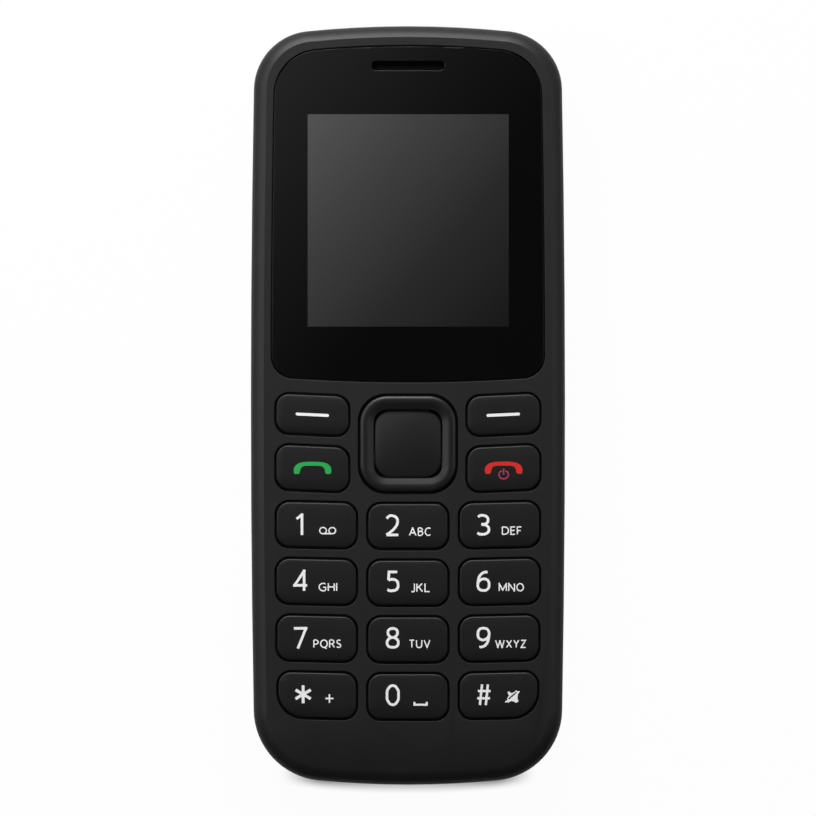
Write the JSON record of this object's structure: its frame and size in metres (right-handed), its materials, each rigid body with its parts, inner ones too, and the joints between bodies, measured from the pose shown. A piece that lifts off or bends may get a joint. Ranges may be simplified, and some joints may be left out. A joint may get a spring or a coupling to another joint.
{
  "type": "bar keypad phone",
  "caption": "Pocket bar phone with a small display, soft keys, a four-way ring with select key, a number pad, and a battery cover on its back.",
  "frame": {"origin": "on the resting plane below the middle of the body, which lies on its back", "axes": "+Z out of the screen, +Y from the keypad towards the earpiece, +X to the right of the keypad"},
  "size_m": [0.0492, 0.119, 0.0144],
  "materials": {
    "case_plastic": "fine satin texture",
    "back_plastic": "fine matte texture",
    "key_plastic": "smooth satin",
    "silicone": "matte translucent",
    "window_acrylic": "polished, tinted black round the display",
    "black_adhesive": "matte",
    "display_glass": "smooth, unlit",
    "white_plastic": "smooth",
    "flex_film": "smooth film",
    "clear_film": "clear film",
    "connector_plastic": "moulded",
    "mesh_fabric": "woven",
    "speaker_steel": "stamped",
    "spring_steel": "stamped",
    "dense_steel": "sintered",
    "screw_steel": "blackened",
    "contact_metal": "plated",
    "board_laminate": "solder mask",
    "chip_resin": "moulded resin",
    "battery_wrap": "printed-free label film",
    "clear_plastic": "clear"
  },
  "bodies": {
    "handset": {"front_housing": "case_plastic", "rear_housing": "back_plastic", "display_window": "window_acrylic", "window_adhesive": "black_adhesive", "lcd_cell": "display_glass", "backlight_frame": "white_plastic", "display_flex": "flex_film", "display_connector": "connector_plastic", "earpiece_mesh": "mesh_fabric", "earpiece_speaker": "speaker_steel", "keypad_mat": "silicone", "dome_sheet": "clear_film", "domes": "spring_steel", "keypad_leds": "white_plastic", "main_board": "board_laminate", "shield_cans": "spring_steel", "processor_chip": "chip_resin", "radio_chip": "chip_resin", "audio_jack": "connector_plastic", "jack_contacts": "contact_metal", "usb_connector": "spring_steel", "usb_tongue": "connector_plastic", "microphone_boot": "silicone", "microphone": "speaker_steel", "battery": "battery_wrap", "battery_terminals": "contact_metal", "battery_connector": "connector_plastic", "battery_springs": "contact_metal", "sim_holders": "spring_steel", "memory_card_holder": "spring_steel", "loudspeaker": "speaker_steel", "speaker_mesh": "mesh_fabric", "vibration_motor": "spring_steel", "torch_lens": "clear_plastic", "torch_led": "white_plastic", "antenna": "contact_metal", "housing_screws": "screw_steel"},
    "cover": {"rear_cover": "back_plastic"},
    "ring_pad": {"nav_ring_pad": "silicone"},
    "ring": {"nav_ring": "key_plastic"},
    "motor_weight": {"vibration_shaft": "spring_steel", "vibration_weight": "dense_steel"},
    "soft_left": {"soft_left": "key_plastic"},
    "soft_right": {"soft_right": "key_plastic"},
    "call_key": {"call_key": "key_plastic"},
    "end_key": {"end_key": "key_plastic"},
    "select_key": {"select_key": "key_plastic"},
    "key_1": {"key_1": "key_plastic"},
    "key_2": {"key_2": "key_plastic"},
    "key_3": {"key_3": "key_plastic"},
    "key_4": {"key_4": "key_plastic"},
    "key_5": {"key_5": "key_plastic"},
    "key_6": {"key_6": "key_plastic"},
    "key_7": {"key_7": "key_plastic"},
    "key_8": {"key_8": "key_plastic"},
    "key_9": {"key_9": "key_plastic"},
    "key_star": {"key_star": "key_plastic"},
    "key_0": {"key_0": "key_plastic"},
    "key_hash": {"key_hash": "key_plastic"}
  },
  "joints": [
    {"name": "soft_left_press", "type": "slide", "parent": "handset", "child": "soft_left", "axis": [0, 0, -1], "range_m": [0, 0.0003], "stiffness_N_per_m": 300, "deforming": ["keypad_mat"]},
    {"name": "soft_right_press", "type": "slide", "parent": "handset", "child": "soft_right", "axis": [0, 0, -1], "range_m": [0, 0.0003], "stiffness_N_per_m": 300, "deforming": ["keypad_mat"]},
    {"name": "call_key_press", "type": "slide", "parent": "handset", "child": "call_key", "axis": [0, 0, -1], "range_m": [0, 0.0003], "stiffness_N_per_m": 300, "deforming": ["keypad_mat"]},
    {"name": "end_key_press", "type": "slide", "parent": "handset", "child": "end_key", "axis": [0, 0, -1], "range_m": [0, 0.0003], "stiffness_N_per_m": 300, "deforming": ["keypad_mat"]},
    {"name": "select_key_press", "type": "slide", "parent": "handset", "child": "select_key", "axis": [0, 0, -1], "range_m": [0, 0.0003], "stiffness_N_per_m": 300, "deforming": ["keypad_mat"]},
    {"name": "key_1_press", "type": "slide", "parent": "handset", "child": "key_1", "axis": [0, 0, -1], "range_m": [0, 0.0003], "stiffness_N_per_m": 300, "deforming": ["keypad_mat"]},
    {"name": "key_2_press", "type": "slide", "parent": "handset", "child": "key_2", "axis": [0, 0, -1], "range_m": [0, 0.0003], "stiffness_N_per_m": 300, "deforming": ["keypad_mat"]},
    {"name": "key_3_press", "type": "slide", "parent": "handset", "child": "key_3", "axis": [0, 0, -1], "range_m": [0, 0.0003], "stiffness_N_per_m": 300, "deforming": ["keypad_mat"]},
    {"name": "key_4_press", "type": "slide", "parent": "handset", "child": "key_4", "axis": [0, 0, -1], "range_m": [0, 0.0003], "stiffness_N_per_m": 300, "deforming": ["keypad_mat"]},
    {"name": "key_5_press", "type": "slide", "parent": "handset", "child": "key_5", "axis": [0, 0, -1], "range_m": [0, 0.0003], "stiffness_N_per_m": 300, "deforming": ["keypad_mat"]},
    {"name": "key_6_press", "type": "slide", "parent": "handset", "child": "key_6", "axis": [0, 0, -1], "range_m": [0, 0.0003], "stiffness_N_per_m": 300, "deforming": ["keypad_mat"]},
    {"name": "key_7_press", "type": "slide", "parent": "handset", "child": "key_7", "axis": [0, 0, -1], "range_m": [0, 0.0003], "stiffness_N_per_m": 300, "deforming": ["keypad_mat"]},
    {"name": "key_8_press", "type": "slide", "parent": "handset", "child": "key_8", "axis": [0, 0, -1], "range_m": [0, 0.0003], "stiffness_N_per_m": 300, "deforming": ["keypad_mat"]},
    {"name": "key_9_press", "type": "slide", "parent": "handset", "child": "key_9", "axis": [0, 0, -1], "range_m": [0, 0.0003], "stiffness_N_per_m": 300, "deforming": ["keypad_mat"]},
    {"name": "key_star_press", "type": "slide", "parent": "handset", "child": "key_star", "axis": [0, 0, -1], "range_m": [0, 0.0003], "stiffness_N_per_m": 300, "deforming": ["keypad_mat"]},
    {"name": "key_0_press", "type": "slide", "parent": "handset", "child": "key_0", "axis": [0, 0, -1], "range_m": [0, 0.0003], "stiffness_N_per_m": 300, "deforming": ["keypad_mat"]},
    {"name": "key_hash_press", "type": "slide", "parent": "handset", "child": "key_hash", "axis": [0, 0, -1], "range_m": [0, 0.0003], "stiffness_N_per_m": 300, "deforming": ["keypad_mat"]},
    {"name": "ring_tilt_up_down", "type": "hinge", "parent": "handset", "child": "ring_pad", "pos_m": [0, -0.00602, 0.0114], "axis": [1, 0, 0], "range_deg": [-1.8, 1.8], "stiffness_Nm_per_rad": 0.1, "deforming": ["keypad_mat"]},
    {"name": "ring_tilt_left_right", "type": "hinge", "parent": "ring_pad", "child": "ring", "pos_m": [0, -0.00602, 0.0114], "axis": [0, 1, 0], "range_deg": [-1.8, 1.8], "stiffness_Nm_per_rad": 0.1, "deforming": ["keypad_mat"]},
    {"name": "cover_slide", "type": "slide", "parent": "handset", "child": "cover", "axis": [0, -1, 0], "range_m": [0, 0.082]},
    {"name": "motor_spin", "type": "hinge", "parent": "handset", "child": "motor_weight", "pos_m": [-0.004, 0.0422, 0.0034], "axis": [1, 0, 0], "continuous": true}
  ]
}
